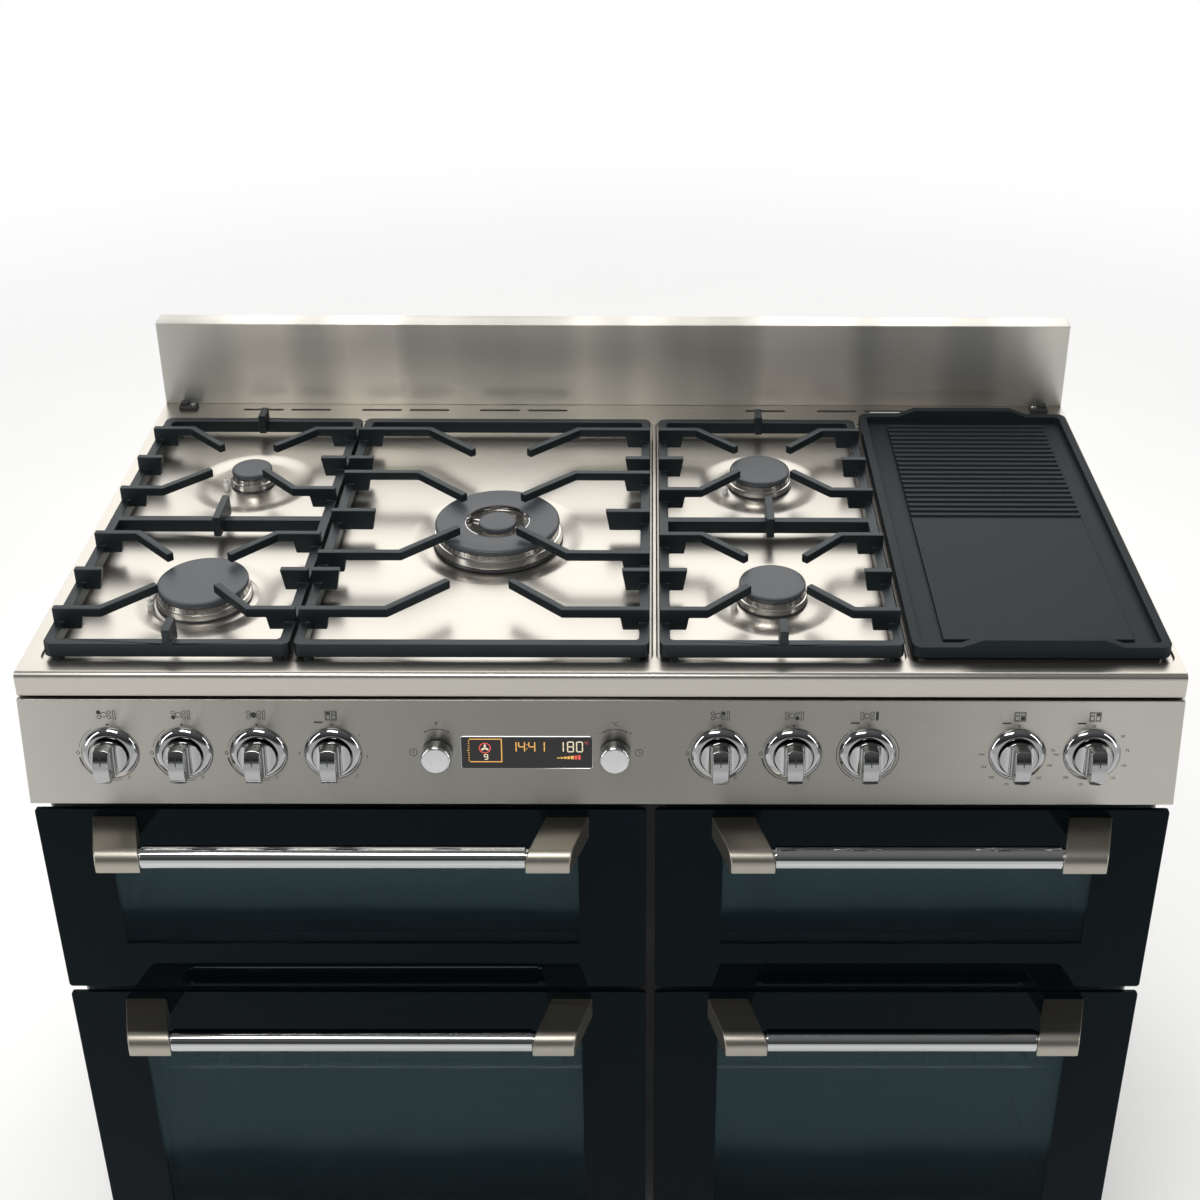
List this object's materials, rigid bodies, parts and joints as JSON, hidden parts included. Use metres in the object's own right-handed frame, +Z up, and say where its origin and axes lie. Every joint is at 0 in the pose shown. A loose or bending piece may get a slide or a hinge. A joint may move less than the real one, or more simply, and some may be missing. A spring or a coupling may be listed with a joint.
{
  "type": "range cooker with double oven",
  "caption": "Wide freestanding range cooker: gas hob with wok burner and cast griddle, tilted knob panel with a clock display, glass drop-down oven doors and a low splashback.",
  "frame": {"origin": "on the floor, at the centre of the outline's box seen from above", "axes": "+X to the right seen from the front, -Y out of the front, +Z up"},
  "size_m": [1.1, 0.67, 1.007],
  "materials": {
    "brushed_steel": "brushed, horizontal grain",
    "casing_grey": "satin dark grey paint",
    "galvanised": "dull zinc sheet",
    "black_plastic": "matt",
    "display_black": "gloss with lit figures",
    "chrome": "polished",
    "enamel": "dark glossy enamel with fine speckle",
    "cast_iron": "matt enamelled iron",
    "cap_enamel": "satin black enamel",
    "burner_alloy": "bead-blasted and turned",
    "door_glass": "dark printed glass",
    "hob_glass": "black glass ceramic",
    "satin_nickel": "satin nickel, brushed",
    "seal_rubber": "matt",
    "brass": "machined",
    "element": "oxidised sheath",
    "wire_chrome": "bright wire"
  },
  "bodies": {
    "cooker_body": {"chassis_frame": "galvanised", "side_panels": "casing_grey", "back_panel": "galvanised", "plinth": "casing_grey", "feet": "black_plastic", "hob_plate": "brushed_steel", "splashback": "brushed_steel", "control_panel": "brushed_steel", "programmer_display": "display_black", "knob_bezels": "chrome", "oven_cavities": "enamel", "door_seals": "seal_rubber", "oven_shelves": "wire_chrome", "heating_elements": "element", "fan_covers": "enamel", "fan_motors": "galvanised", "burner_heads": "burner_alloy", "burner_caps": "cap_enamel", "hot_zone_glass": "hob_glass", "taps_and_thermostats": "brass"},
    "grill_door": {"grill_door_glass": "door_glass", "grill_door_liner": "enamel", "grill_door_handle_bar": "chrome", "grill_door_brackets": "satin_nickel"},
    "main_door": {"main_door_glass": "door_glass", "main_door_liner": "enamel", "main_door_handle_bar": "chrome", "main_door_brackets": "satin_nickel"},
    "small_door": {"small_door_glass": "door_glass", "small_door_liner": "enamel", "small_door_handle_bar": "chrome", "small_door_brackets": "satin_nickel"},
    "tall_door": {"tall_door_glass": "door_glass", "tall_door_liner": "enamel", "tall_door_handle_bar": "chrome", "tall_door_brackets": "satin_nickel"},
    "gas_spindle_rear_left": {"gas_spindle_rear_left": "burner_alloy"},
    "gas_knob_rear_left": {"gas_knob_rear_left": "chrome"},
    "gas_spindle_front_left": {"gas_spindle_front_left": "burner_alloy"},
    "gas_knob_front_left": {"gas_knob_front_left": "chrome"},
    "gas_spindle_wok": {"gas_spindle_wok": "burner_alloy"},
    "gas_knob_wok": {"gas_knob_wok": "chrome"},
    "gas_spindle_rear_right": {"gas_spindle_rear_right": "burner_alloy"},
    "gas_knob_rear_right": {"gas_knob_rear_right": "chrome"},
    "gas_spindle_front_right": {"gas_spindle_front_right": "burner_alloy"},
    "gas_knob_front_right": {"gas_knob_front_right": "chrome"},
    "grill_knob": {"grill_knob": "chrome"},
    "hot_zone_knob": {"hot_zone_knob": "chrome"},
    "tall_oven_knob": {"tall_oven_knob": "chrome"},
    "small_oven_knob": {"small_oven_knob": "chrome"},
    "program_shaft": {"program_shaft": "burner_alloy"},
    "program_knob": {"program_knob": "chrome"},
    "temperature_shaft": {"temperature_shaft": "burner_alloy"},
    "temperature_knob": {"temperature_knob": "chrome"},
    "pan_support_left": {"pan_support_left": "cast_iron"},
    "pan_support_middle": {"pan_support_middle": "cast_iron"},
    "pan_support_right": {"pan_support_right": "cast_iron"},
    "griddle_plate": {"griddle_plate": "cast_iron"},
    "main_oven_fan": {"main_oven_fan": "burner_alloy"},
    "tall_oven_fan": {"tall_oven_fan": "burner_alloy"}
  },
  "joints": [
    {"name": "grill_door_hinge", "type": "hinge", "parent": "cooker_body", "child": "grill_door", "pos_m": [-0.2545, -0.263, 0.54479], "axis": [1, 0, 0], "range_deg": [0, 90], "stiffness_Nm_per_rad": 0.8, "springref_deg": -68.75},
    {"name": "main_door_hinge", "type": "hinge", "parent": "cooker_body", "child": "main_door", "pos_m": [-0.2545, -0.263, 0.132], "axis": [1, 0, 0], "range_deg": [0, 90], "stiffness_Nm_per_rad": 2, "springref_deg": -57.3},
    {"name": "small_door_hinge", "type": "hinge", "parent": "cooker_body", "child": "small_door", "pos_m": [0.3, -0.263, 0.54479], "axis": [1, 0, 0], "range_deg": [0, 90], "stiffness_Nm_per_rad": 0.7, "springref_deg": -68.75},
    {"name": "tall_door_hinge", "type": "hinge", "parent": "cooker_body", "child": "tall_door", "pos_m": [0.3, -0.263, 0.132], "axis": [1, 0, 0], "range_deg": [0, 90], "stiffness_Nm_per_rad": 1.7, "springref_deg": -57.3},
    {"name": "gas_spindle_rear_left_push", "type": "slide", "parent": "cooker_body", "child": "gas_spindle_rear_left", "axis": [0, 0.9921, -0.1253], "range_m": [0, 0.003], "stiffness_N_per_m": 1500, "springref_m": -0.003},
    {"name": "gas_knob_rear_left_turn", "type": "hinge", "parent": "gas_spindle_rear_left", "child": "gas_knob_rear_left", "pos_m": [-0.4675, -0.27574, 0.81695], "axis": [0, -0.9921, 0.1253], "range_deg": [0, 210]},
    {"name": "gas_spindle_front_left_push", "type": "slide", "parent": "cooker_body", "child": "gas_spindle_front_left", "axis": [0, 0.9921, -0.1253], "range_m": [0, 0.003], "stiffness_N_per_m": 1500, "springref_m": -0.003},
    {"name": "gas_knob_front_left_turn", "type": "hinge", "parent": "gas_spindle_front_left", "child": "gas_knob_front_left", "pos_m": [-0.3975, -0.27574, 0.81695], "axis": [0, -0.9921, 0.1253], "range_deg": [0, 210]},
    {"name": "gas_spindle_wok_push", "type": "slide", "parent": "cooker_body", "child": "gas_spindle_wok", "axis": [0, 0.9921, -0.1253], "range_m": [0, 0.003], "stiffness_N_per_m": 1500, "springref_m": -0.003},
    {"name": "gas_knob_wok_turn", "type": "hinge", "parent": "gas_spindle_wok", "child": "gas_knob_wok", "pos_m": [-0.3268, -0.27574, 0.81695], "axis": [0, -0.9921, 0.1253], "range_deg": [0, 210]},
    {"name": "gas_spindle_rear_right_push", "type": "slide", "parent": "cooker_body", "child": "gas_spindle_rear_right", "axis": [0, 0.9921, -0.1253], "range_m": [0, 0.003], "stiffness_N_per_m": 1500, "springref_m": -0.003},
    {"name": "gas_knob_rear_right_turn", "type": "hinge", "parent": "gas_spindle_rear_right", "child": "gas_knob_rear_right", "pos_m": [0.111, -0.27574, 0.81695], "axis": [0, -0.9921, 0.1253], "range_deg": [0, 210]},
    {"name": "gas_spindle_front_right_push", "type": "slide", "parent": "cooker_body", "child": "gas_spindle_front_right", "axis": [0, 0.9921, -0.1253], "range_m": [0, 0.003], "stiffness_N_per_m": 1500, "springref_m": -0.003},
    {"name": "gas_knob_front_right_turn", "type": "hinge", "parent": "gas_spindle_front_right", "child": "gas_knob_front_right", "pos_m": [0.181, -0.27574, 0.81695], "axis": [0, -0.9921, 0.1253], "range_deg": [0, 210]},
    {"name": "grill_knob_turn", "type": "hinge", "parent": "cooker_body", "child": "grill_knob", "pos_m": [-0.2563, -0.27574, 0.81695], "axis": [0, -0.9921, 0.1253], "range_deg": [-270, 0]},
    {"name": "hot_zone_knob_turn", "type": "hinge", "parent": "cooker_body", "child": "hot_zone_knob", "pos_m": [0.252, -0.27574, 0.81695], "axis": [0, -0.9921, 0.1253], "range_deg": [-300, 0]},
    {"name": "tall_oven_knob_turn", "type": "hinge", "parent": "cooker_body", "child": "tall_oven_knob", "pos_m": [0.3947, -0.27574, 0.81695], "axis": [0, -0.9921, 0.1253], "range_deg": [-270, 0]},
    {"name": "small_oven_knob_turn", "type": "hinge", "parent": "cooker_body", "child": "small_oven_knob", "pos_m": [0.466, -0.27574, 0.81695], "axis": [0, -0.9921, 0.1253], "range_deg": [-270, 0]},
    {"name": "program_button_push", "type": "slide", "parent": "cooker_body", "child": "program_shaft", "axis": [0, 0.9921, -0.1253], "range_m": [0, 0.001], "stiffness_N_per_m": 2000, "springref_m": -0.001},
    {"name": "program_knob_turn", "type": "hinge", "parent": "program_shaft", "child": "program_knob", "pos_m": [-0.1574, -0.27559, 0.81814], "axis": [0, -0.9921, 0.1253], "continuous": true},
    {"name": "temperature_button_push", "type": "slide", "parent": "cooker_body", "child": "temperature_shaft", "axis": [0, 0.9921, -0.1253], "range_m": [0, 0.001], "stiffness_N_per_m": 2000, "springref_m": -0.001},
    {"name": "temperature_knob_turn", "type": "hinge", "parent": "temperature_shaft", "child": "temperature_knob", "pos_m": [0.0115, -0.27559, 0.81814], "axis": [0, -0.9921, 0.1253], "continuous": true},
    {"name": "pan_support_left_lift", "type": "slide", "parent": "cooker_body", "child": "pan_support_left", "axis": [0, 0, 1], "range_m": [0, 0.06]},
    {"name": "pan_support_middle_lift", "type": "slide", "parent": "cooker_body", "child": "pan_support_middle", "axis": [0, 0, 1], "range_m": [0, 0.06]},
    {"name": "pan_support_right_lift", "type": "slide", "parent": "cooker_body", "child": "pan_support_right", "axis": [0, 0, 1], "range_m": [0, 0.06]},
    {"name": "griddle_plate_lift", "type": "slide", "parent": "cooker_body", "child": "griddle_plate", "axis": [0, 0, 1], "range_m": [0, 0.06]},
    {"name": "main_oven_fan_spin", "type": "hinge", "parent": "cooker_body", "child": "main_oven_fan", "pos_m": [-0.2545, 0.175, 0.271], "axis": [0, 1, 0], "continuous": true},
    {"name": "tall_oven_fan_spin", "type": "hinge", "parent": "cooker_body", "child": "tall_oven_fan", "pos_m": [0.3, 0.175, 0.271], "axis": [0, 1, 0], "continuous": true}
  ]
}
